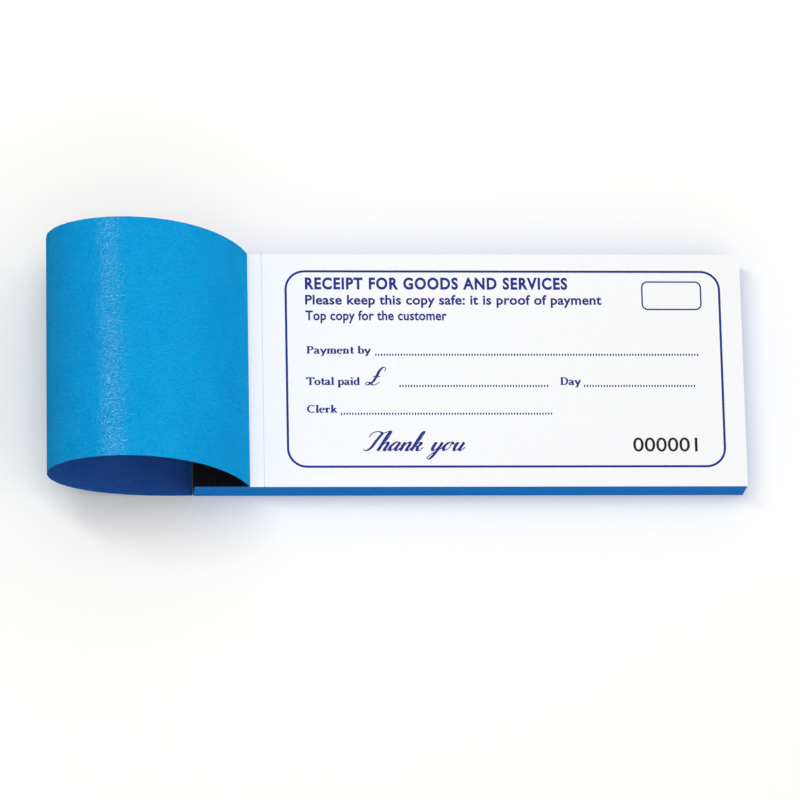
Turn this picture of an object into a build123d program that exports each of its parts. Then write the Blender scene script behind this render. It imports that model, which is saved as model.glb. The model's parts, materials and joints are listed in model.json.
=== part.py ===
from build123d import *
import math
import os

# Duplicate receipt book: wire-stitched pad in a wrap-round card cover with a cloth spine, its
# front cover opened at the fold and curled back over the bound end until it meets the table.
# Millimetres. +X runs from the bound end to the free end, +Y away from the writer, +Z up.
# The origin is the centre of the back cover's underside.

# Driving dimensions of the book
book_length = 210.0
book_width = 91.5
card_thickness = 0.35
stub_width = 20.6
perforation_offset = 26.4
perforation_kerf = 0.10
spine_round = 0.50

# The leaves: each set is a white receipt over its thinner duplicate
set_count = 100
single_set_count = 10
bundle_count = 9
receipt_thickness = 0.075
duplicate_thickness = 0.055

# The loose card that stops writing going through to the next set
shield_thickness = 0.30
shield_edge_inset = 1.0
shield_end_inset = 1.5

# Air on a face along which a leaf or the card slides
slide_room = 0.02

# Binding
glue_thickness = 0.15
cloth_thickness = 0.20
cloth_fold_inset = 0.50
cloth_foot_rise = 0.30
wire_width = 0.70
wire_thickness = 0.50
wire_room = 0.05
stitch_crown = 14.0
stitch_spacing = 46.0
stitch_spine_offset = 10.0
stitch_clinch = 5.0

# The front cover's curl, as strips of equal width that hinge on their inner edges
curl_strip_count = 24
curl_peak = 0.52
curl_lean = 0.14
curl_foot_gap = 0.20
curl_foot_lift = 0.50
strip_gap = 0.10

# Levels and stations that follow from the sizes above
x_spine = -book_length / 2
x_free = book_length / 2
x_fold = x_spine + stub_width
x_perforation = x_spine + perforation_offset
x_leaf = x_spine + card_thickness + glue_thickness
x_cloth = x_spine - cloth_thickness
set_thickness = receipt_thickness + duplicate_thickness
shield_layer = shield_thickness + 2 * slide_room
z_pad = card_thickness
z_page = z_pad + set_count * set_thickness + shield_layer + slide_room
z_strip = z_page + glue_thickness
z_top = z_strip + card_thickness
z_cloth = z_top + cloth_thickness
bundle_sets = (set_count - single_set_count) / bundle_count


def slab(x0, x1, z0, z1, width=book_width, y_mid=0.0):
    """A flat box between two stations and two levels."""
    place = Pos((x0 + x1) / 2, y_mid, (z0 + z1) / 2)
    return place * Box(x1 - x0, width, z1 - z0)


def prism(points):
    """A closed outline in the XZ plane, drawn out over the book's width."""
    outline = Plane.XZ * make_face(Polyline(*points, close=True))
    return extrude(outline, book_width / 2, both=True)


def wrap_cover():
    """Back panel, spine and the strip that is glued over the stubs, in one piece of card."""
    outline = [
        (x_spine, 0),
        (x_free, 0),
        (x_free, card_thickness),
        (x_spine + card_thickness, card_thickness),
        (x_spine + card_thickness, z_strip),
        (x_fold, z_strip),
        (x_fold, z_top),
        (x_spine, z_top),
    ]
    body = prism(outline)
    corners = body.edges().filter_by(Axis.Y).group_by(Axis.X)[0]
    return fillet(corners, spine_round)


def spine_cloth():
    """Strip of cloth stuck over the spine and over the card on the stubs, short of the fold."""
    cloth_foot = spine_round + cloth_foot_rise
    cloth_edge = x_fold - cloth_fold_inset
    outline = [
        (x_spine, cloth_foot),
        (x_spine, z_top),
        (cloth_edge, z_top),
        (cloth_edge, z_cloth),
        (x_cloth, z_cloth),
        (x_cloth, cloth_foot),
    ]
    body = prism(outline)
    corners = (
        ((x_spine, 0, z_top), spine_round),
        ((x_cloth, 0, z_cloth), spine_round + cloth_thickness),
    )
    for corner, radius in corners:
        edge = body.edges().filter_by(Axis.Y).sort_by_distance(corner)[0]
        body = fillet(edge, radius)
    return body


def spine_glue():
    """Film of glue on the ends of the stubs and on top of the uppermost one."""
    outline = [
        (x_spine + card_thickness, z_pad),
        (x_leaf, z_pad),
        (x_leaf, z_page),
        (x_fold, z_page),
        (x_fold, z_strip),
        (x_spine + card_thickness, z_strip),
    ]
    return prism(outline)


def stitch(y_mid, room=0.0):
    """One staple of flat wire: crown under the cover strip, two legs, ends clinched inwards."""
    x_mid = x_spine + stitch_spine_offset
    x0 = x_mid - wire_width / 2 - room
    x1 = x_mid + wire_width / 2 + room
    half = stitch_crown / 2
    crown = slab(x0, x1, z_page - wire_thickness - room, z_page, stitch_crown + 2 * room, y_mid)
    wire = crown
    for side in (-1, 1):
        y_leg = y_mid + side * (half - wire_thickness / 2)
        wire += slab(x0, x1, z_pad, z_page, wire_thickness + 2 * room, y_leg)
        y_clinch = y_mid + side * (half - stitch_clinch / 2)
        foot_top = z_pad + wire_thickness + room
        wire += slab(x0, x1, z_pad, foot_top, stitch_clinch + 2 * room, y_clinch)
    return wire


stitch_stations = (-stitch_spacing / 2, stitch_spacing / 2)


def pierced(leaves):
    """Leaves with the room that the two stitches press into them."""
    for y_mid in stitch_stations:
        leaves -= stitch(y_mid, wire_room)
    return leaves


def strip_turn(position):
    """Share of the curl's whole turn made by a point that far along the strips, from 0 to 1."""
    swell = curl_peak * math.sin(2 * math.pi * position) / (2 * math.pi)
    lean = curl_lean * math.sin(math.pi * position) ** 2 / math.pi
    return position - swell - lean


turn_shares = [strip_turn(i / (curl_strip_count - 1)) for i in range(curl_strip_count)]
strip_pitch = (x_free - x_fold) / curl_strip_count


def curl_chord(turn):
    """From the fold to the free edge when the first strip points along +X."""
    dx = sum(strip_pitch * math.cos(turn * share) for share in turn_shares)
    dz = sum(strip_pitch * math.sin(turn * share) for share in turn_shares)
    return dx, dz


# The free edge stands on the table at the foot of the spine. The whole turn sets how far the
# edge comes back to the fold, and the first strip's heading then sets where it lands.
foot_dx = x_cloth - curl_foot_gap - x_fold
foot_dz = card_thickness + curl_foot_lift - z_top
foot_reach = math.hypot(foot_dx, foot_dz)
open_turn = math.radians(120)
closed_turn = math.radians(340)
for _ in range(60):
    curl_turn = (open_turn + closed_turn) / 2
    if math.hypot(*curl_chord(curl_turn)) > foot_reach:
        open_turn = curl_turn
    else:
        closed_turn = curl_turn
chord_dx, chord_dz = curl_chord(curl_turn)
fold_angle = math.atan2(foot_dz, foot_dx) - math.atan2(chord_dz, chord_dx)
fold_angle = fold_angle % (2 * math.pi)
strip_headings = [fold_angle + curl_turn * share for share in turn_shares]

hinge_points = [(x_fold, z_top)]
for heading in strip_headings:
    x_last, z_last = hinge_points[-1]
    x_next = x_last + strip_pitch * math.cos(heading)
    z_next = z_last + strip_pitch * math.sin(heading)
    hinge_points.append((x_next, z_next))


def cover_strip(index):
    """One strip of the front cover, standing on the outside of its line of hinge points."""
    x0, z0 = hinge_points[index]
    heading = math.degrees(strip_headings[index])
    centre = Pos(strip_pitch / 2, 0, -card_thickness / 2)
    plate = centre * Box(strip_pitch - strip_gap, book_width, card_thickness)
    return Pos(x0, 0, z0) * Rot(0, -heading, 0) * plate


def pad_nodes():
    """Every leaf of the pad, from the page that shows down to the back cover."""
    nodes = {}

    # The first set: a receipt torn along its perforation, its stub, its duplicate and the shield
    torn_edge = x_perforation + perforation_kerf / 2
    kept_edge = x_perforation - perforation_kerf / 2
    below = z_page - receipt_thickness
    nodes["receipt_001"] = slab(torn_edge, x_free, below, z_page)
    nodes["stub_001"] = pierced(slab(x_leaf, kept_edge, below, z_page))
    level = below - slide_room
    below = level - duplicate_thickness
    nodes["duplicate_001"] = pierced(slab(x_leaf, x_free, below, level))
    level = below - shield_layer
    nodes["writing_shield"] = slab(
        x_perforation + shield_end_inset,
        x_free - shield_end_inset,
        level + slide_room,
        below - slide_room,
        book_width - 2 * shield_edge_inset,
    )

    # The next sets, leaf by leaf
    for number in range(2, single_set_count + 1):
        for kind, thickness in (("receipt", receipt_thickness), ("duplicate", duplicate_thickness)):
            below = level - thickness
            nodes[f"{kind}_{number:03d}"] = pierced(slab(x_leaf, x_free, below, level))
            level = below

    # The rest of the sets, in bundles of leaves
    for number in range(1, bundle_count + 1):
        below = level - bundle_sets * set_thickness
        nodes[f"sheet_bundle_{number:02d}"] = pierced(slab(x_leaf, x_free, below, level))
        level = below
    return nodes


os.makedirs("parts", exist_ok=True)
parts = {
    "wrap_cover": wrap_cover(),
    "spine_cloth": spine_cloth(),
    "spine_glue": spine_glue(),
    "wire_stitches": Compound([stitch(y_mid).solid() for y_mid in stitch_stations]),
}
parts.update(pad_nodes())
for index in range(curl_strip_count):
    parts[f"front_cover_{index + 1:02d}"] = cover_strip(index)

for name, shape in parts.items():
    export_step(shape, f"parts/{name}.step")

print("page level", round(z_page, 3), "top of cover strip", round(z_top, 3))
print("fold opens by", round(math.degrees(fold_angle), 3), "degrees, then curls by",
      round(math.degrees(curl_turn), 3))
print("curl reaches", round(min(x for x, z in hinge_points), 2), "across and",
      round(max(z for x, z in hinge_points), 2), "up")
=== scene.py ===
import json
import math
import random

import bpy
from mathutils import Matrix, Vector


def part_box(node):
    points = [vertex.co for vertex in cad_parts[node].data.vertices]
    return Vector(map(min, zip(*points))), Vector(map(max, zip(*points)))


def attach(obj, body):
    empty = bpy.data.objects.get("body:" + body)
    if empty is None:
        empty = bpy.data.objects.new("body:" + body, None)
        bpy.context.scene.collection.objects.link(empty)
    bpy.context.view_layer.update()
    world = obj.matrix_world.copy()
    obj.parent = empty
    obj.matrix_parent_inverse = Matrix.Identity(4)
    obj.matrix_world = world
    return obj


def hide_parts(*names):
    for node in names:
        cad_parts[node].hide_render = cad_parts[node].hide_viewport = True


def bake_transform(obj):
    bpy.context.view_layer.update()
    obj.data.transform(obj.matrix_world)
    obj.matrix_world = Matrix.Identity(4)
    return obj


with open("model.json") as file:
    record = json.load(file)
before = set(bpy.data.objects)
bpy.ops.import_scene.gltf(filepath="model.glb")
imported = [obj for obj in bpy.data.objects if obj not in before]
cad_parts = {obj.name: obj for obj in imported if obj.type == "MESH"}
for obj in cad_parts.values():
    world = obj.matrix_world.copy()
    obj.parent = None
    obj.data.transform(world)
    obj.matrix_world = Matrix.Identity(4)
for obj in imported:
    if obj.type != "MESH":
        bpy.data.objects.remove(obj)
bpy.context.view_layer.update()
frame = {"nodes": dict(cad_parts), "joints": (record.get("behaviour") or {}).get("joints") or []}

MM = 0.001

# Sizes that the frame gives. The lowest bundle lies on the back cover, one card's thickness up
wrap_low, wrap_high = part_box("wrap_cover")
page_low, page_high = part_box("receipt_001")
stub_low, stub_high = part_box("stub_001")
duplicate_low, duplicate_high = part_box("duplicate_001")
near, far = wrap_low.y, wrap_high.y
card_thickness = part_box("sheet_bundle_09")[0].z
receipt_thickness = page_high.z - page_low.z
duplicate_thickness = duplicate_high.z - duplicate_low.z

# The cover: the steps of its fold, and how far it bends inside each hinge towards a smooth arc
fold_steps = 8
bend_share = 0.5

# The leaves: their sets, how unevenly their edges are trimmed, and how far in they are stained
first_single_set, last_single_set = 2, 10
bundle_count, sets_in_bundle = 9, 10
trim_seed = 41
trim_spread = 0.03 * MM
trim_drift = 0.02 * MM
trim_limit = 0.12 * MM
stain_depth = 0.5 * MM

# The perforation: slits with a tie of paper between each two
slit_depth = 0.06 * MM
tie_width = 0.45 * MM
tie_pitch = 1.30 * MM
tie_gap = 0.01 * MM

# The printed form, measured in from the page's four edges, and its words from its own frame
form_left = page_low.x + 8.6 * MM
form_right = page_high.x - 7.8 * MM
form_near = near + 7.4 * MM
form_far = far - 6.4 * MM
form_radius, form_line = 7.6 * MM, 0.88 * MM
stamp_width, stamp_height = 23.2 * MM, 11.5 * MM
stamp_inset_right, stamp_inset_far = 7.3 * MM, 4.2 * MM
stamp_radius, stamp_line = 2.5 * MM, 0.58 * MM
text_left = form_left + 7.8 * MM
rule_right = form_right - 8.7 * MM
dot_pitch, dot_width, dot_height = 1.08 * MM, 0.64 * MM, 0.98 * MM

# Ink sinks into the paper and stands proud of it. Strokes and letters that cross lie at other heights
ink_sink, ink_height = 0.008 * MM, 0.004 * MM
ink_thickness = ink_sink + ink_height
stroke_rise, letter_rise = 0.001 * MM, 0.005 * MM

# Words in the built-in face: the height of a capital, the weight and spacing, the place and the width
heading_face = {"height": 4.3 * MM, "weight": 0.039, "spacing": 1.14}
small_face = {"height": 3.6 * MM, "weight": 0.027, "spacing": 1.04}
number_face = {"height": 5.3 * MM, "weight": 0.008, "spacing": 1.0}
heading_level, heading_width = form_near + 70.3 * MM, 100.5 * MM
advice_level, advice_width = form_near + 64.2 * MM, 113.5 * MM
copy_level, copy_width = form_near + 58.0 * MM, 54.0 * MM
number_level, number_width = form_near + 6.3 * MM, 24.6 * MM
number_left = rule_right - 26.8 * MM
letter_steps = 4

# Words in the two drawn hands: the height of their small letters, their places, and the nib's swell
label_height, label_rise = 2.05 * MM, 0.4 * MM
pound_height, pound_left = 3.2 * MM, text_left + 22.5 * MM
thanks_height, thanks_left = 3.5 * MM, text_left + 20.5 * MM
thanks_level = form_near + 6.6 * MM
nib_power = 1.5

# The ruled lines: level, label, the label's left and width, and the two ends of the dots
first_rule = form_near + 44.3 * MM
second_rule = form_near + 32.0 * MM
third_rule = form_near + 21.1 * MM
ruled_lines = (
    (first_rule, "Payment by", text_left, 24.6 * MM, text_left + 26.6 * MM, rule_right),
    (second_rule, "Total paid", text_left, 20.4 * MM, text_left + 35.6 * MM, text_left + 92.8 * MM),
    (second_rule, "Day", text_left + 96.5 * MM, 8.0 * MM, text_left + 106 * MM, rule_right - 2.4 * MM),
    (third_rule, "Clerk", text_left, 11.6 * MM, text_left + 13.1 * MM, text_left + 93.2 * MM),
)

# Grain of the materials, and the depth of their bumps. Noise mostly lies between its two limits
noise_low, noise_high = 0.3, 0.7
card_grain, card_fibre = 0.6 * MM, 0.25 * MM
card_clouds, cloud_share = 14 * MM, 0.4
tooth_size, tooth_depth = 0.6 * MM, 0.09 * MM
varnish_most = 0.055
thread_size, thread_depth = 0.28 * MM, 0.06 * MM
paper_fibre, paper_depth = 0.6 * MM, 0.01 * MM
edge_streak = 0.35 * MM
board_fibre, board_depth = 0.35 * MM, 0.02 * MM
ink_grain = 0.4 * MM
wire_grain = 0.15 * MM

# A face looks along an axis where its normal leans that way by more than this
facing_limit = 0.5

# Floor, lamps and camera, with angles in degrees
floor_half, floor_level = 3.0, -0.1 * MM
floor_lit, floor_seen, floor_glow = (0.55, 0.55, 0.55), (0.99, 0.98, 0.96), 0.03
lamp_target = Vector((-0.02, 0, 0.02))
camera_azimuth, camera_elevation, camera_roll = -17.113, 74.393, 16.501
camera_distance, camera_reach = 2.0, 20.0
camera_lens, camera_sensor = 235.7, 36.0
camera_target = Vector((-25.6, -8.2, 0)) * MM

# Corners that agree to this many decimals of a metre are one vertex
weld_decimals = 10


class Solid:
    """Vertices and faces of one piece, gathered before its mesh is made."""

    def __init__(self):
        self.points = []
        self.faces = []
        self.tags = []
        self.normals = []
        self.found = {}

    def vertex(self, point):
        """The number of the vertex at a point, which is added if it is new."""
        key = tuple(round(value, weld_decimals) for value in point)
        if key not in self.found:
            self.found[key] = len(self.points)
            self.points.append(key)
        return self.found[key]

    def face(self, corners, tag=0, normals=None):
        """One face; corners that fall together are merged, and a face with fewer than 3 is left out."""
        ids = [self.vertex(corner) for corner in corners]
        kept = [k for k, i in enumerate(ids) if i not in ids[:k]]
        if len(kept) < 3:
            return
        self.faces.append([ids[k] for k in kept])
        self.tags.append(tag)
        self.normals.append([normals[k] if normals else (0, 0, 0) for k in kept])

    def box(self, low, high, tag=0):
        """A box between two corners."""
        outline = [(low.x, low.y), (high.x, low.y), (high.x, high.y), (low.x, high.y)]
        self.prism(outline, low.z, high.z, tag)

    def prism(self, outline, z0, z1, tag=0):
        """A flat outline, counter-clockwise from above, drawn up from z0 to z1."""
        self.face([(x, y, z1) for x, y in outline], tag)
        self.face([(x, y, z0) for x, y in reversed(outline)], tag)
        for (xa, ya), (xb, yb) in zip(outline, outline[1:] + outline[:1]):
            self.face([(xa, ya, z0), (xb, yb, z0), (xb, yb, z1), (xa, ya, z1)], tag)

    def tube(self, rings, closed=False):
        """Rings of corners joined one to the next, with an end face at each end unless it is closed."""
        pairs = list(zip(rings, rings[1:]))
        if closed:
            pairs.append((rings[-1], rings[0]))
        else:
            self.face(rings[0])
            self.face(rings[-1][::-1])
        count = len(rings[0])
        for ring, following in pairs:
            for j in range(count):
                k = (j + 1) % count
                self.face([ring[j], following[j], following[k], ring[k]])

    def piece(self, name, materials, smooth_tags=()):
        """The object of these faces. A face's tag is the place of its material in the list."""
        mesh = bpy.data.meshes.new(name)
        mesh.from_pydata(self.points, [], self.faces)
        for material in materials:
            mesh.materials.append(material)
        for polygon, tag in zip(mesh.polygons, self.tags):
            polygon.material_index = tag
            polygon.use_smooth = tag in smooth_tags
        mesh.update()
        if smooth_tags:
            mesh.normals_split_custom_set([n for normals in self.normals for n in normals])
        made = bpy.data.objects.new(name, mesh)
        bpy.context.scene.collection.objects.link(made)
        return made


# Materials

class Shader:
    """A node material built round one Principled shader."""

    def __init__(self, name, roughness, specular=0.5, metallic=0.0):
        self.material = bpy.data.materials.new(name)
        self.material.use_nodes = True
        self.nodes = self.material.node_tree.nodes
        self.links = self.material.node_tree.links
        self.surface = self.nodes["Principled BSDF"]
        self.surface.inputs["Roughness"].default_value = roughness
        self.surface.inputs["Specular IOR Level"].default_value = specular
        self.surface.inputs["Metallic"].default_value = metallic
        self.place = self.nodes.new("ShaderNodeTexCoord").outputs["Object"]

    def node(self, kind, **settings):
        """A new node of that kind, with its settings."""
        made = self.nodes.new(kind)
        for name, value in settings.items():
            setattr(made, name, value)
        return made

    def feed(self, source, socket):
        """Sets a socket to a constant, or links it to another node's output."""
        if isinstance(source, float):
            socket.default_value = source
        else:
            self.links.new(source, socket)

    def noise(self, size, detail=3.0, stretch=(1, 1, 1)):
        """Noise whose grains are about that size, drawn out along an axis by its stretch."""
        mapping = self.node("ShaderNodeMapping")
        mapping.inputs["Scale"].default_value = tuple(1 / value for value in stretch)
        self.links.new(self.place, mapping.inputs["Vector"])
        noise = self.node("ShaderNodeTexNoise")
        noise.inputs["Scale"].default_value = 1 / size
        noise.inputs["Detail"].default_value = detail
        self.links.new(mapping.outputs["Vector"], noise.inputs["Vector"])
        return noise.outputs["Fac"]

    def between(self, factor, tints):
        """A colour from the first tint to the second as the factor goes between the noise limits."""
        ramp = self.node("ShaderNodeValToRGB")
        ramp.color_ramp.elements[0].position = noise_low
        ramp.color_ramp.elements[1].position = noise_high
        for element, tint in zip(ramp.color_ramp.elements, tints):
            element.color = (*tint, 1)
        self.links.new(factor, ramp.inputs["Fac"])
        return ramp.outputs["Color"]

    def values(self, factor, low, high):
        """A number from low to high as the factor goes between the noise limits."""
        ranged = self.node("ShaderNodeMapRange")
        ranged.inputs["From Min"].default_value = noise_low
        ranged.inputs["From Max"].default_value = noise_high
        ranged.inputs["To Min"].default_value = low
        ranged.inputs["To Max"].default_value = high
        self.links.new(factor, ranged.inputs["Value"])
        return ranged.outputs["Result"]

    def mix(self, factor, first, second):
        """The first colour where the factor is 0, and the second where it is 1."""
        mixer = self.node("ShaderNodeMix", data_type="RGBA")
        self.feed(factor, mixer.inputs["Factor"])
        self.links.new(first, mixer.inputs["A"])
        self.links.new(second, mixer.inputs["B"])
        return mixer.outputs["Result"]

    def calculate(self, operation, *terms):
        """The result of one operation on constants or other nodes' outputs."""
        made = self.node("ShaderNodeMath", operation=operation)
        for term, socket in zip(terms, made.inputs):
            self.feed(term, socket)
        return made.outputs[0]

    def on_axis(self, vector, axis):
        """A vector's value along one axis."""
        split = self.node("ShaderNodeSeparateXYZ")
        self.links.new(vector, split.inputs["Vector"])
        return split.outputs[axis]

    def faces_along(self, axis):
        """1 where the face looks along that axis, either way, and 0 elsewhere."""
        normal = self.node("ShaderNodeNewGeometry").outputs["True Normal"]
        lean = self.calculate("ABSOLUTE", self.on_axis(normal, axis))
        return self.calculate("GREATER_THAN", lean, facing_limit)

    def cut_edges(self):
        """1 on the upright faces of a sheet, where it is cut, and 0 elsewhere."""
        return self.calculate("MAXIMUM", self.faces_along("X"), self.faces_along("Y"))

    def beyond(self, axis, limit, mirrored=False):
        """1 past that limit along an axis, or past it either way if mirrored, and 0 elsewhere."""
        distance = self.on_axis(self.place, axis)
        if mirrored:
            distance = self.calculate("ABSOLUTE", distance)
        return self.calculate("GREATER_THAN", distance, limit)

    def varnish(self, weight, roughness, index):
        """A clear coat that is as heavy as the source of its weight says from place to place."""
        self.links.new(weight, self.surface.inputs["Coat Weight"])
        self.surface.inputs["Coat Roughness"].default_value = roughness
        self.surface.inputs["Coat IOR"].default_value = index

    def color(self, source):
        self.links.new(source, self.surface.inputs["Base Color"])

    def roughness(self, source):
        self.links.new(source, self.surface.inputs["Roughness"])

    def bump(self, height, strength, depth):
        """Relief of that depth, on the surface and on any coat."""
        bump = self.node("ShaderNodeBump")
        bump.inputs["Strength"].default_value = strength
        bump.inputs["Distance"].default_value = depth
        self.links.new(height, bump.inputs["Height"])
        self.links.new(bump.outputs["Normal"], self.surface.inputs["Normal"])
        self.links.new(bump.outputs["Normal"], self.surface.inputs["Coat Normal"])


def linear(red, green, blue):
    """A screen colour, 0 to 255, as the linear values that a shader takes."""
    def convert(value):
        value = value / 255
        return value / 12.92 if value <= 0.04045 else ((value + 0.055) / 1.055) ** 2.4
    return convert(red), convert(green), convert(blue)


def card_material(name, tints, edge_tints=None):
    """Printed card with a fine tooth, and a thin satin varnish that lies on the tooth's high points."""
    made = Shader(name, roughness=0.6, specular=0.0)
    grain = made.noise(card_grain, detail=2.0)
    tooth = made.noise(tooth_size, detail=0.0)
    clouds = made.noise(card_clouds, detail=2.0)
    made.varnish(made.values(tooth, 0.0, varnish_most), roughness=0.12, index=3.0)
    tint = made.mix(cloud_share, made.between(grain, tints), made.between(clouds, tints))
    if edge_tints:
        fibres = made.noise(card_fibre, stretch=(4, 4, 1))
        tint = made.mix(made.cut_edges(), tint, made.between(fibres, edge_tints))
    made.color(tint)
    made.bump(tooth, strength=1.0, depth=tooth_depth)
    return made.material


def cloth_material(name, tints):
    """Book cloth: two sets of threads that cross over and under."""
    made = Shader(name, roughness=0.85, specular=0.1)
    warp = made.noise(thread_size, detail=1.0, stretch=(7, 1, 7))
    weft = made.noise(thread_size, detail=1.0, stretch=(1, 7, 1))
    weave = made.calculate("MAXIMUM", warp, weft)
    made.color(made.between(weave, tints))
    made.bump(weave, strength=0.6, depth=thread_depth)
    return made.material


def paper_material(name, tints, edge_tints, margin=0.0):
    """Uncoated paper with a faint fibre, stained on its cut edges and on any margin along them."""
    made = Shader(name, roughness=0.75, specular=0.12)
    fibre = made.noise(paper_fibre, detail=4.0, stretch=(2.5, 1, 1))
    streaks = made.noise(edge_streak, detail=3.0, stretch=(9, 9, 0.3))
    stained = made.cut_edges()
    if margin:
        sides = made.beyond("Y", far - margin, mirrored=True)
        free_end = made.beyond("X", page_high.x - margin)
        stained = made.calculate("MAXIMUM", stained, made.calculate("MAXIMUM", sides, free_end))
    made.color(made.mix(stained, made.between(fibre, tints), made.between(streaks, edge_tints)))
    made.bump(fibre, strength=0.05, depth=paper_depth)
    return made.material


def board_material(name, tints, edge_tints=None):
    """Board or dried glue: long fibres, slightly uneven, with stained ends if it has such tints."""
    made = Shader(name, roughness=0.8, specular=0.1)
    fibre = made.noise(board_fibre, detail=4.0, stretch=(5, 1, 1))
    tint = made.between(fibre, tints)
    if edge_tints:
        tint = made.mix(made.faces_along("Y"), tint, made.between(fibre, edge_tints))
    made.color(tint)
    made.bump(fibre, strength=0.08, depth=board_depth)
    return made.material


def ink_material(name, tints):
    """Printing ink, slightly uneven."""
    made = Shader(name, roughness=0.6, specular=0.15)
    made.color(made.between(made.noise(ink_grain, detail=3.0), tints))
    return made.material


def wire_material(name, tints):
    """Drawn wire, streaked along its length."""
    made = Shader(name, roughness=0.3, metallic=1.0)
    drawn = made.noise(wire_grain, detail=2.0, stretch=(1, 12, 12))
    made.color(made.between(drawn, tints))
    made.roughness(made.values(drawn, low=0.22, high=0.4))
    return made.material


# Each material's tints, a dark one and a light one
edge_blues = (linear(4, 124, 206), linear(22, 142, 226))
card_edge_blues = (linear(6, 96, 160), linear(30, 128, 196))
inside_blues = (linear(0, 143, 207), linear(2, 157, 219))
front_blues = (linear(38, 90, 168), linear(54, 104, 188))
# The spine cloth's black is partly its own colour and partly painted shade: it also stands for the deep
# shade over the stubs and the spine, inside the curl's mouth
cloth_and_shade_blacks = (linear(4, 4, 7), linear(25, 25, 31))
paper_whites = (linear(244, 245, 246), linear(249, 249, 250))
duplicate_blues = (linear(184, 210, 234), linear(198, 221, 240))
board_buffs = (linear(176, 154, 120), linear(194, 172, 137))
glue_creams = (linear(222, 216, 196), linear(234, 229, 212))
wire_greys = (linear(150, 152, 156), linear(205, 206, 210))
ink_blues = (linear(26, 38, 120), linear(40, 54, 142))
ink_blacks = (linear(14, 14, 16), linear(28, 28, 31))

card_inside = card_material("card_inside", inside_blues)
card_front = card_material("card_front", front_blues)
card_edge = card_material("card_edge", card_edge_blues)
card_wrap = card_material("card_wrap", front_blues, card_edge_blues)
# Black cloth whose black is partly painted shade, for the deep shade inside the curl's mouth
black_cloth_and_shade = cloth_material("black_cloth_and_shade", cloth_and_shade_blacks)
top_paper = paper_material("top_paper", paper_whites, edge_blues)
white_paper = paper_material("white_paper", paper_whites, edge_blues, stain_depth)
blue_paper = paper_material("blue_paper", duplicate_blues, edge_blues, stain_depth)
buff_board = board_material("buff_board", board_buffs)
dried_glue = board_material("dried_glue", glue_creams, edge_blues)
flat_wire = wire_material("flat_wire", wire_greys)
blue_ink = ink_material("blue_ink", ink_blues)
black_ink = ink_material("black_ink", ink_blacks)


# The cover. Its profile lies in the XZ plane, and a heading turns from +X up towards +Z

strip_joints = [joint for joint in frame["joints"] if joint["child"].startswith("cover_strip")]
strip_bodies = [joint["child"] for joint in strip_joints]
hinge_places = [Vector((joint["pos_m"][0], joint["pos_m"][2])) for joint in strip_joints]
strip_pitch = (hinge_places[1] - hinge_places[0]).length


def heading_of(step):
    return math.atan2(step.y, step.x) % (2 * math.pi)


# The last strip has no hinge after it, so its heading comes from its own joint. All of them rise
headings = [heading_of(b - a) for a, b in zip(hinge_places, hinge_places[1:])]
headings.append(headings[-1] + math.radians(strip_joints[-1]["range_deg"][1]))
for i in range(1, len(headings)):
    while headings[i] < headings[i - 1]:
        headings[i] += 2 * math.pi


def along(heading):
    return Vector((math.cos(heading), math.sin(heading)))


def outward(heading):
    """Square to the card, from its front face towards its inside face."""
    return Vector((math.sin(heading), -math.cos(heading)))


strip_middles = [p + along(h) * strip_pitch / 2 for p, h in zip(hinge_places, headings)]
front_side, inside_side, edge_side = range(3)


def card_piece(name, rows):
    """A closed length of card. Each row is a place on the front face and the heading there."""
    solid = Solid()
    rings = []
    normals = []
    for place, heading in rows:
        normal = outward(heading)
        back = place + normal * card_thickness
        front_corners = [(place.x, near, place.y), (place.x, far, place.y)]
        back_corners = [(back.x, far, back.y), (back.x, near, back.y)]
        rings.append(front_corners + back_corners)
        normals.append((normal.x, 0, normal.y))
    solid.face(rings[0], tag=edge_side)
    solid.face(rings[-1][::-1], tag=edge_side)
    for (ring, n), (following, m) in zip(zip(rings, normals), zip(rings[1:], normals[1:])):
        for j, side in enumerate((front_side, edge_side, inside_side, edge_side)):
            k = (j + 1) % 4
            turn = -1 if side == front_side else 1
            shades = [tuple(turn * value for value in normal) for normal in (n, m, m, n)]
            corners = [ring[j], following[j], following[k], ring[k]]
            solid.face(corners, side, None if side == edge_side else shades)
    made = solid.piece(name, [card_front, card_inside, card_edge], smooth_tags=(front_side, inside_side))
    return made


def crease_piece():
    """The fold beside the stubs: the card turns round its front face, then rises to the first strip."""
    hinge = hinge_places[0]
    rows = [(hinge, headings[0] * k / fold_steps) for k in range(fold_steps + 1)]
    rows.append((strip_middles[0], headings[0]))
    made = card_piece("front_cover_crease", rows)
    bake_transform(made)
    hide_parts("front_cover_01")


def curl_pieces():
    """The curled cover, in lengths from the middle of each strip to the middle of the next."""
    last = len(strip_bodies) - 1
    for i in range(last):
        turn = headings[i + 1] - headings[i]
        between = (headings[i] + headings[i + 1]) / 2
        inset = bend_share * strip_pitch / 2 * math.tan(turn / 4)
        bend = hinge_places[i + 1] - outward(between) * inset
        rows = [
            (strip_middles[i], headings[i]),
            (bend, between),
            (strip_middles[i + 1], headings[i + 1]),
        ]
        if i + 1 == last:
            free_edge = strip_middles[last] + along(headings[last]) * strip_pitch / 2
            rows.append((free_edge, headings[last]))
        made = card_piece(f"front_cover_curl_{i + 1:02d}", rows)
        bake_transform(made)
        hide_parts(f"front_cover_{i + 2:02d}")


# The pad

chance = random.Random(trim_seed)


class Trim:
    """How far each leaf's cut edges fall short of the trimmed block, drifting from leaf to leaf."""

    def __init__(self):
        self.base = [0.0, 0.0, 0.0]

    def next(self):
        """How far short the next leaf falls at its near, far and free edges."""
        for k in range(len(self.base)):
            moved = self.base[k] + chance.uniform(-trim_drift, trim_drift)
            self.base[k] = min(max(moved, 0.0), trim_limit - trim_spread)
        return [base + chance.uniform(0, trim_spread) for base in self.base]


trim = Trim()


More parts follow.
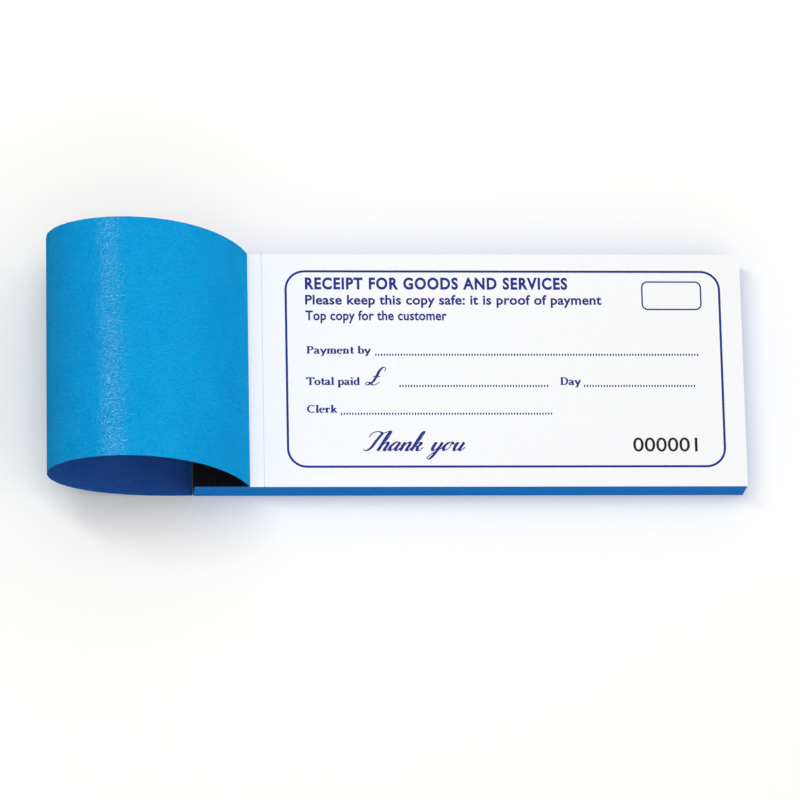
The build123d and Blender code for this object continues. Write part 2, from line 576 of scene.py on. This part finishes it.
def add_leaf(solid, low, high, tag):
    """One leaf that fills a box, apart from what is trimmed off it."""
    near_short, far_short, free_short = trim.next()
    leaf_low = Vector((low.x, low.y + near_short, low.z))
    leaf_high = Vector((high.x - free_short, high.y - far_short, high.z))
    solid.box(leaf_low, leaf_high, tag)


def upper_leaves():
    """The sets that the CAD model holds leaf by leaf."""
    solid = Solid()
    names = []
    for number in range(first_single_set, last_single_set + 1):
        for tag, kind in enumerate(("receipt", "duplicate")):
            name = f"{kind}_{number:03d}"
            add_leaf(solid, *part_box(name), tag)
            names.append(name)
    made = solid.piece("upper_leaves", [white_paper, blue_paper])
    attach(made, "bound_pad")
    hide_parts(*names)


def leaf_bundles():
    """The deeper sets, every leaf of them, bundle by bundle."""
    for number in range(1, bundle_count + 1):
        node = f"sheet_bundle_{number:02d}"
        low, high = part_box(node)
        solid = Solid()
        top = high.z
        for _ in range(sets_in_bundle):
            for tag, thickness in enumerate((receipt_thickness, duplicate_thickness)):
                bottom = max(top - thickness, low.z)
                leaf_low = Vector((low.x, low.y, bottom))
                leaf_high = Vector((high.x, high.y, top))
                add_leaf(solid, leaf_low, leaf_high, tag)
                top = bottom
        made = solid.piece(f"leaf_bundle_{number:02d}", [white_paper, blue_paper])
        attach(made, "bound_pad")
        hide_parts(node)


def tie_places():
    """The middles of the ties, along the perforation."""
    count = int((far - near) / tie_pitch)
    first = -(count - 1) * tie_pitch / 2
    return [first + k * tie_pitch for k in range(count)]


def perforated_edge(x_tie, x_slit, downwards):
    """The comb of ties along the perforation, as points of an outline."""
    points = []
    for y in tie_places():
        low, high = y - tie_width / 2, y + tie_width / 2
        points += [(x_slit, low), (x_tie, low), (x_tie, high), (x_slit, high)]
    return points[::-1] if downwards else points


def top_receipt():
    """The receipt that shows, with the ties that hold it to its stub."""
    x_slit = page_low.x + slit_depth
    comb = perforated_edge(stub_high.x + tie_gap, x_slit, downwards=True)
    outline = [(x_slit, near), (page_high.x, near), (page_high.x, far), (x_slit, far)] + comb
    solid = Solid()
    solid.prism(outline, page_low.z, page_high.z)
    made = solid.piece("receipt_sheet", [top_paper])
    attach(made, "top_receipt")
    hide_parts("receipt_001")


def receipt_stub():
    """The strip that stays bound when the receipt is torn off."""
    x_slit = stub_high.x - slit_depth
    comb = perforated_edge(stub_high.x, x_slit, downwards=False)
    outline = [(x_slit, far), (stub_low.x, far), (stub_low.x, near), (x_slit, near)] + comb
    solid = Solid()
    solid.prism(outline, stub_low.z, stub_high.z)
    made = solid.piece("receipt_stub", [top_paper])
    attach(made, "bound_pad")
    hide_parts("stub_001")


# The printed form

def rounded_box(left, low, right, high, radius, steps=8):
    """Outline of a round-cornered box, counter-clockwise."""
    centres = [(right - radius, low + radius), (right - radius, high - radius),
               (left + radius, high - radius), (left + radius, low + radius)]
    points = []
    for quarter, (x, y) in enumerate(centres):
        for k in range(steps + 1):
            angle = math.pi / 2 * (quarter - 1 + k / steps)
            points.append((x + radius * math.cos(angle), y + radius * math.sin(angle)))
    return points


def add_frame(solid, left, low, right, high, radius, line, z):
    """A round-cornered box drawn as a line of that width, inside the box."""
    outer = rounded_box(left, low, right, high, radius)
    inner = rounded_box(left + line, low + line, right - line, high - line, radius - line)
    top = z + ink_thickness
    rings = []
    for (xo, yo), (xi, yi) in zip(outer, inner):
        rings.append([(xo, yo, top), (xo, yo, z), (xi, yi, z), (xi, yi, top)])
    solid.tube(rings, closed=True)


def add_dots(solid, x0, x1, y, z, sides=8):
    """A rule of dots, each a little taller than it is wide."""
    count = int((x1 - x0) / dot_pitch)
    angles = [2 * math.pi * j / sides for j in range(sides)]
    for k in range(count + 1):
        x = x0 + k * dot_pitch
        outline = [(x + dot_width / 2 * math.cos(a), y + dot_height / 2 * math.sin(a)) for a in angles]
        solid.prism(outline, z, z + ink_thickness)


def flat_words(words, weight=0.0, spacing=1.0):
    """A flat mesh of words in the plain built-in face, at size 1."""
    curve = bpy.data.curves.new("words", "FONT")
    curve.body = words
    curve.offset = weight
    curve.space_character = spacing
    curve.resolution_u = letter_steps
    maker = bpy.data.objects.new("words", curve)
    bpy.context.scene.collection.objects.link(maker)
    graph = bpy.context.evaluated_depsgraph_get()
    flat = bpy.data.meshes.new_from_object(maker.evaluated_get(graph))
    bpy.data.objects.remove(maker)
    bpy.data.curves.remove(curve)
    return flat


def capital_height():
    """Height of a capital in the built-in face, at size 1."""
    flat = flat_words("H")
    height = max(v.co.y for v in flat.vertices)
    bpy.data.meshes.remove(flat)
    return height


built_in_capital = capital_height()


def add_text(solid, words, x, y, z, width, height, weight, spacing):
    """Words in the built-in face, with their capitals that high, fitted to a width."""
    flat = flat_words(words, weight, spacing)
    left = min(v.co.x for v in flat.vertices)
    right = max(v.co.x for v in flat.vertices)
    scale = height / built_in_capital
    stretch = width / ((right - left) * scale)
    spots = [((v.co.x - left) * scale * stretch + x, v.co.y * scale + y) for v in flat.vertices]
    top = z + ink_thickness
    rim = {}
    for polygon in flat.polygons:
        ids = list(polygon.vertices)
        if polygon.normal.z < 0:
            ids.reverse()
        solid.face([(*spots[i], top) for i in ids])
        solid.face([(*spots[i], z) for i in reversed(ids)])
        for a, b in zip(ids, ids[1:] + ids[:1]):
            if (b, a) in rim:
                del rim[(b, a)]
            else:
                rim[(a, b)] = True
    for a, b in rim:
        solid.face([(*spots[a], z), (*spots[b], z), (*spots[b], top), (*spots[a], top)])
    bpy.data.meshes.remove(flat)


# Lettering drawn with a nib, on a baseline at 0 with small letters about 1 high

class Hand:
    """A hand to write in: each letter's advance and strokes, the slant, and the nib's two widths."""

    def __init__(self, letters, slant, thick, thin, upward):
        self.letters = letters
        self.slant = slant
        self.thick = thick
        self.thin = thin
        self.upward = upward

    def half_width(self, step):
        """Wide where the nib is drawn down, and going up as far as the hand says."""
        press = max(-step.y, self.upward * step.y)
        return (self.thin + (self.thick - self.thin) * press ** nib_power) / 2


def smooth_line(points, steps=6):
    """A curve through the points, as short runs."""
    ends = [points[0]] + points + [points[-1]]
    line = []
    for a, b, c, d in zip(ends, ends[1:], ends[2:], ends[3:]):
        for k in range(steps):
            t = k / steps
            line.append(tuple(
                0.5 * (2 * q + (r - p) * t + (2 * p - 5 * q + 4 * r - s) * t * t
                       + (3 * q - p - 3 * r + s) * t ** 3)
                for p, q, r, s in zip(a, b, c, d)))
    line.append(points[-1])
    return line


def oval(x, y, across, up, start, end, steps=10):
    """Points on an oval, from one angle to another in degrees."""
    angles = [math.radians(start + (end - start) * k / steps) for k in range(steps + 1)]
    return [(x + across * math.cos(a), y + up * math.sin(a)) for a in angles]


def script_hand():
    """A plain copybook hand."""
    arch = [(0.2, 0.1), (0.4, 0.75), (0.7, 0.98), (0.85, 0.7), (0.82, 0.15), (1.0, 0.02), (1.3, 0.4)]
    tall_loop = [(0.0, 0.1), (0.45, 1.2), (0.5, 2.1), (0.3, 2.0), (0.22, 1.0), (0.2, 0.0)]
    cup = [(0.0, 0.5), (0.18, 0.95), (0.18, 0.25), (0.42, 0.02), (0.75, 0.45), (0.88, 0.95)]
    tail = [(0.88, 0.95), (0.8, 0.25), (1.0, 0.02), (1.3, 0.4)]
    drawn = {
        " ": (0.9, []),
        "£": (1.6, [[(1.25, 1.7), (1.15, 2.1), (0.8, 2.15), (0.62, 1.7), (0.68, 1.0), (0.6, 0.35),
                     (0.2, 0.0), (-0.15, 0.15), (0.1, 0.35), (0.6, 0.1), (1.05, 0.0), (1.45, 0.35)],
                    [(0.25, 1.0), (0.65, 1.08), (1.1, 1.0)]]),
        "T": (1.55, [[(-0.1, 1.55), (0.05, 2.0), (0.6, 2.15), (1.2, 2.0), (1.9, 2.25)],
                     [(1.15, 2.05), (0.95, 1.2), (0.8, 0.35), (0.4, 0.0), (0.05, 0.25)]]),
        "h": (1.2, [tall_loop, arch]),
        "a": (1.2, [[(0.85, 0.8), (0.5, 1.0), (0.12, 0.5), (0.3, 0.02), (0.65, 0.35), (0.9, 0.95)],
                    tail]),
        "n": (1.2, [[(0.0, 0.5), (0.18, 0.95), (0.22, 0.5), (0.2, 0.0)], arch]),
        "k": (1.3, [tall_loop,
                    [(0.2, 0.2), (0.55, 0.9), (0.8, 0.85), (0.7, 0.55), (0.35, 0.5)],
                    [(0.35, 0.5), (0.65, 0.4), (0.8, 0.05), (1.05, 0.05), (1.3, 0.4)]]),
        "y": (1.2, [cup,
                    [(0.88, 0.95), (0.8, 0.0), (0.55, -0.85), (0.2, -0.8), (0.4, -0.35), (1.25, 0.4)]]),
        "o": (1.15, [[(0.7, 0.95), (0.35, 0.9), (0.12, 0.45), (0.38, 0.02), (0.75, 0.4), (0.7, 0.95),
                      (0.95, 0.75), (1.2, 0.8)]]),
        "u": (1.25, [cup, tail]),
    }
    letters = {letter: (advance, [smooth_line(stroke) for stroke in strokes])
               for letter, (advance, strokes) in drawn.items()}
    return Hand(letters, slant=0.60, thick=0.36, thin=0.10, upward=0.0)


def roman_hand():
    """Upright letters with heavy stems and thin serifs."""
    capital, tall, small, deep = 1.47, 1.50, 0.96, -0.50
    thick, thin, serif = 0.40, 0.15, 0.29
    first_stem, arch_span = 0.34, 0.58
    capital_stem, capital_bowl = 0.42, 0.72
    foot_line = thin / 2
    cap_line, small_line = capital - thin / 2, small - thin / 2
    both, left, right = (-serif, serif), (-serif, 0.0), (0.0, serif)

    def bar(x0, x1, y):
        return [(x0, y), (x1, y)]

    def curved(points):
        return smooth_line(points, steps=3)

    def stem(x, low, high, foot=both, head=left):
        """An upright stroke with its serifs."""
        strokes = [[(x, low), (x, high)]]
        if foot:
            strokes.append(bar(x + foot[0], x + foot[1], low + thin / 2))
        if head:
            strokes.append(bar(x + head[0], x + head[1], high - thin / 2))
        return strokes

    def arch(x):
        """From the stem at x over to a second stem and down it."""
        second = x + arch_span
        over = [(x, 0.70)] + oval(second - 0.27, 0.64, 0.27, 0.28, 140, 0) + [(second, 0.0)]
        return [over, bar(second + both[0], second + both[1], foot_line)]

    def bowl(x, side):
        """Round stroke on a stem at x, to the right for side 1 and to the left for side -1."""
        turns = (125, -125) if side > 0 else (55, 305)
        return [[(x, 0.72)] + oval(x + side * 0.32, 0.48, 0.40, 0.44, *turns) + [(x, 0.18)]]

    def capital_round(middle, across, up, lower):
        """From the head of a capital's stem round to the right and back to the stem lower down."""
        half_round = oval(capital_bowl, middle, across, up, 90, -90)
        return [[(capital_stem, cap_line)] + half_round + [(capital_stem, lower)]]

    letters = {
        " ": (0.55, []),
        "C": (1.46, [oval(0.84, capital / 2, 0.66, 0.69, 48, 312, steps=14)]),
        "D": (1.60, stem(capital_stem, 0, capital, left, left)
              + capital_round(capital / 2, 0.68, 0.68, foot_line)),
        "P": (1.36, stem(capital_stem, 0, capital)
              + capital_round(1.06, 0.45, cap_line - 1.06, 0.70)),
        "T": (1.47, stem(0.74, 0, capital, both, None) + [bar(0.06, 1.42, cap_line)]
              + [[(0.10, capital), (0.13, 1.12)], [(1.38, capital), (1.35, 1.12)]]),
        "a": (1.10, [curved([(0.20, 0.72), (0.30, 0.90), (0.52, 0.92), (0.72, 0.82), (0.76, 0.60),
                             (0.76, 0.22), (0.86, 0.06), (1.06, 0.12)]),
                     curved([(0.76, 0.57), (0.46, 0.49), (0.22, 0.32), (0.24, 0.11), (0.42, 0.05),
                             (0.64, 0.15), (0.76, 0.30)])]),
        "b": (1.22, stem(first_stem, 0.05, tall, None, left) + bowl(first_stem, 1)),
        "d": (1.22, stem(0.90, 0, tall, right, left) + bowl(0.90, -1)),
        "e": (0.98, [bar(0.20, 0.84, 0.53), oval(0.52, 0.48, 0.37, 0.44, 6, 316, steps=14)]),
        "i": (0.66, stem(first_stem, 0, small) + [[(first_stem, 1.20), (first_stem, 1.46)]]),
        "k": (1.24, stem(first_stem, 0, tall)
              + [[(0.40, 0.40), (0.92, small_line)], [(0.55, 0.58), (1.02, foot_line)]]
              + [bar(0.72, 1.10, small_line), bar(0.84, 1.24, foot_line)]),
        "l": (0.66, stem(first_stem, 0, tall)),
        "m": (1.83, stem(first_stem, 0, small) + arch(first_stem) + arch(first_stem + arch_span)),
        "n": (1.24, stem(first_stem, 0, small) + arch(first_stem)),
        "o": (1.12, [oval(0.56, 0.48, 0.39, 0.44, 90, 450, steps=16)]),
        "p": (1.22, stem(first_stem, deep, small) + bowl(first_stem, 1)),
        "r": (0.95, stem(first_stem, 0, small)
              + [curved([(0.36, 0.58), (0.50, 0.80), (0.70, 0.88), (0.86, 0.74)])]),
        "t": (0.80, [curved([(0.40, 1.28), (0.40, 0.80), (0.40, 0.26), (0.52, 0.07), (0.78, 0.16)]),
                     bar(0.10, 0.74, small_line)]),
        "y": (1.12, [[(0.18, small_line), (0.60, 0.06)],
                     curved([(1.00, small_line), (0.60, 0.02), (0.42, -0.36), (0.14, -0.40)]),
                     bar(0.0, 0.42, small_line), bar(0.80, 1.16, small_line)]),
    }
    return Hand(letters, slant=0.0, thick=thick, thin=thin, upward=1.0)


script = script_hand()
roman = roman_hand()


def add_letters(solid, hand, words, x, y, z, height, width=None):
    """Words in a hand, with small letters about that high, fitted to a width if there is one.

    Each stroke lies a little higher than the one before, and every second letter higher still, so
    that strokes cross without meeting.
    """
    advance = sum(hand.letters[letter][0] for letter in words)
    stretch = width / (advance * height) if width else 1.0
    pen = 0.0
    for place, letter in enumerate(words):
        letter_advance, strokes = hand.letters[letter]
        top = z + ink_thickness + place % 2 * letter_rise
        for stroke in strokes:
            line = [Vector(((pen + px + hand.slant * py) * stretch, py)) for px, py in stroke]
            rings = []
            for k, spot in enumerate(line):
                step = line[min(k + 1, len(line) - 1)] - line[max(k - 1, 0)]
                step.normalize()
                side = Vector((-step.y, step.x)) * hand.half_width(step)
                left, right = (spot + side) * height, (spot - side) * height
                top += stroke_rise / len(line)
                rings.append([(x + left.x, y + left.y, top), (x + left.x, y + left.y, z),
                              (x + right.x, y + right.y, z), (x + right.x, y + right.y, top)])
            solid.tube(rings)
        pen += letter_advance


def print_form(name, body, z, copy_line):
    """The form of one leaf: border, stamp box, heading, ruled lines, closing words and number."""
    solid = Solid()
    add_frame(solid, form_left, form_near, form_right, form_far, form_radius, form_line, z)
    stamp_right = form_right - stamp_inset_right
    stamp_far = form_far - stamp_inset_far
    add_frame(solid, stamp_right - stamp_width, stamp_far - stamp_height, stamp_right, stamp_far,
              stamp_radius, stamp_line, z)
    add_text(solid, "RECEIPT FOR GOODS AND SERVICES", text_left, heading_level, z, heading_width,
             **heading_face)
    add_text(solid, "Please keep this copy safe: it is proof of payment", text_left, advice_level, z,
             advice_width, **small_face)
    add_text(solid, copy_line, text_left, copy_level, z, copy_width, **small_face)
    for level, label, label_left, label_width, dots_left, dots_right in ruled_lines:
        add_letters(solid, roman, label, label_left, level + label_rise, z, label_height, label_width)
        add_dots(solid, dots_left, dots_right, level, z)
    add_letters(solid, script, "£", pound_left, second_rule + label_rise, z, pound_height)
    add_letters(solid, script, "Thank you", thanks_left, thanks_level, z, thanks_height)
    made = solid.piece(name, [blue_ink])
    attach(made, body)

    number = Solid()
    add_text(number, "000001", number_left, number_level, z, number_width, **number_face)
    made = number.piece(name + "_number", [black_ink])
    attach(made, body)


# The CAD solids that show

def dress_solids():
    """Gives the solids that no piece replaces their materials."""
    materials = {
        "wrap_cover": card_wrap,
        # The cloth over the spine and the stubs: its black is partly painted shade
        "spine_cloth": black_cloth_and_shade,
        "spine_glue": dried_glue,
        "wire_stitches": flat_wire,
        "duplicate_001": blue_paper,
        "writing_shield": buff_board,
    }
    for name, material in materials.items():
        mesh = frame["nodes"][name].data
        mesh.materials.clear()
        mesh.materials.append(material)


# Floor, light and camera

def seen_ray(tree):
    """1 for rays that show the floor or the world itself: to the camera, or seen in gloss or glass."""
    path = tree.nodes.new("ShaderNodeLightPath")
    total = path.outputs["Is Camera Ray"]
    for other in ("Is Glossy Ray", "Is Transmission Ray"):
        larger = tree.nodes.new("ShaderNodeMath")
        larger.operation = "MAXIMUM"
        tree.links.new(total, larger.inputs[0])
        tree.links.new(path.outputs[other], larger.inputs[1])
        total = larger.outputs[0]
    return total


def floor():
    """A pale floor that looks white, takes shadows and throws less light back than it shows."""
    material = bpy.data.materials.new("floor")
    material.use_nodes = True
    tree = material.node_tree
    tree.nodes.clear()
    lit = tree.nodes.new("ShaderNodeBsdfDiffuse")
    lit.inputs["Color"].default_value = (*floor_lit, 1)
    seen = tree.nodes.new("ShaderNodeBsdfDiffuse")
    seen.inputs["Color"].default_value = (*floor_seen, 1)
    glow = tree.nodes.new("ShaderNodeEmission")
    glow.inputs["Color"].default_value = (1, 1, 1, 1)
    glow.inputs["Strength"].default_value = floor_glow
    both = tree.nodes.new("ShaderNodeAddShader")
    choose = tree.nodes.new("ShaderNodeMixShader")
    output = tree.nodes.new("ShaderNodeOutputMaterial")
    tree.links.new(seen.outputs[0], both.inputs[0])
    tree.links.new(glow.outputs[0], both.inputs[1])
    tree.links.new(seen_ray(tree), choose.inputs["Fac"])
    tree.links.new(lit.outputs[0], choose.inputs[1])
    tree.links.new(both.outputs[0], choose.inputs[2])
    tree.links.new(choose.outputs[0], output.inputs["Surface"])
    corners = [(-1, -1), (1, -1), (1, 1), (-1, 1)]
    solid = Solid()
    solid.face([(x * floor_half, y * floor_half, floor_level) for x, y in corners])
    made = solid.piece("floor", [material])


def world_light(strength, slope):
    """A white dome, brighter towards the side that the slope points to."""
    world = bpy.data.worlds.new("studio")
    bpy.context.scene.world = world
    world.use_nodes = True
    tree = world.node_tree
    tree.nodes.clear()
    dome = tree.nodes.new("ShaderNodeBackground")
    dome.inputs["Color"].default_value = (1, 1, 1, 1)
    place = tree.nodes.new("ShaderNodeTexCoord")
    lean = tree.nodes.new("ShaderNodeVectorMath")
    lean.operation = "DOT_PRODUCT"
    lean.inputs[1].default_value = slope
    level = tree.nodes.new("ShaderNodeMath")
    level.operation = "ADD"
    level.inputs[1].default_value = strength
    tree.links.new(place.outputs["Generated"], lean.inputs[0])
    tree.links.new(lean.outputs["Value"], level.inputs[0])
    tree.links.new(level.outputs[0], dome.inputs["Strength"])
    white = tree.nodes.new("ShaderNodeBackground")
    white.inputs["Color"].default_value = (1, 1, 1, 1)
    white.inputs["Strength"].default_value = 1.0
    choose = tree.nodes.new("ShaderNodeMixShader")
    output = tree.nodes.new("ShaderNodeOutputWorld")
    tree.links.new(seen_ray(tree), choose.inputs["Fac"])
    tree.links.new(dome.outputs[0], choose.inputs[1])
    tree.links.new(white.outputs[0], choose.inputs[2])
    tree.links.new(choose.outputs[0], output.inputs["Surface"])


def softbox(name, direction, distance, width, length, watts):
    """A rectangular lamp that looks at the book from that direction, its length along Y."""
    lamp = bpy.data.lights.new(name, "AREA")
    lamp.shape = "RECTANGLE"
    lamp.size = width
    lamp.size_y = length
    lamp.energy = watts
    made = bpy.data.objects.new(name, lamp)
    bpy.context.scene.collection.objects.link(made)
    towards = Vector(direction).normalized()
    made.location = lamp_target + towards * distance
    made.rotation_mode = "QUATERNION"
    made.rotation_quaternion = towards.to_track_quat("Z", "Y")


def camera():
    """The camera, turned about its own line of sight by the roll."""
    azimuth = math.radians(camera_azimuth)
    elevation = math.radians(camera_elevation)
    roll = math.radians(camera_roll)
    back = Vector((math.sin(azimuth) * math.cos(elevation), -math.cos(azimuth) * math.cos(elevation),
                   math.sin(elevation)))
    level_right = Vector((math.cos(azimuth), math.sin(azimuth), 0))
    level_up = back.cross(level_right)
    up = level_up * math.cos(roll) - level_right * math.sin(roll)
    right = up.cross(back)
    data = bpy.data.cameras.new("camera")
    data.sensor_width = camera_sensor
    data.lens = camera_lens
    data.clip_end = camera_reach
    made = bpy.data.objects.new("camera", data)
    bpy.context.scene.collection.objects.link(made)
    made.location = camera_target + back * camera_distance
    made.rotation_mode = "QUATERNION"
    made.rotation_quaternion = Matrix((right, up, back)).transposed().to_quaternion()
    bpy.context.scene.camera = made


crease_piece()
curl_pieces()
upper_leaves()
leaf_bundles()
top_receipt()
receipt_stub()
print_form("receipt_print", "top_receipt", page_high.z - ink_sink,
           "Top copy for the customer")
print_form("duplicate_print", "bound_pad", duplicate_high.z - ink_sink,
           "Second copy, kept in the book")
dress_solids()
floor()
world_light(strength=0.545, slope=(0.3, -0.2, 0.14))
softbox("overhead", direction=(-0.22, 0.14, 0.94), distance=1.4, width=0.18, length=1.2, watts=8.0)
softbox("right_fill", direction=(0.75, -0.1, 0.6), distance=1.8, width=1.0, length=1.0, watts=2.0)
camera()
bpy.context.scene.view_settings.view_transform = "Standard"
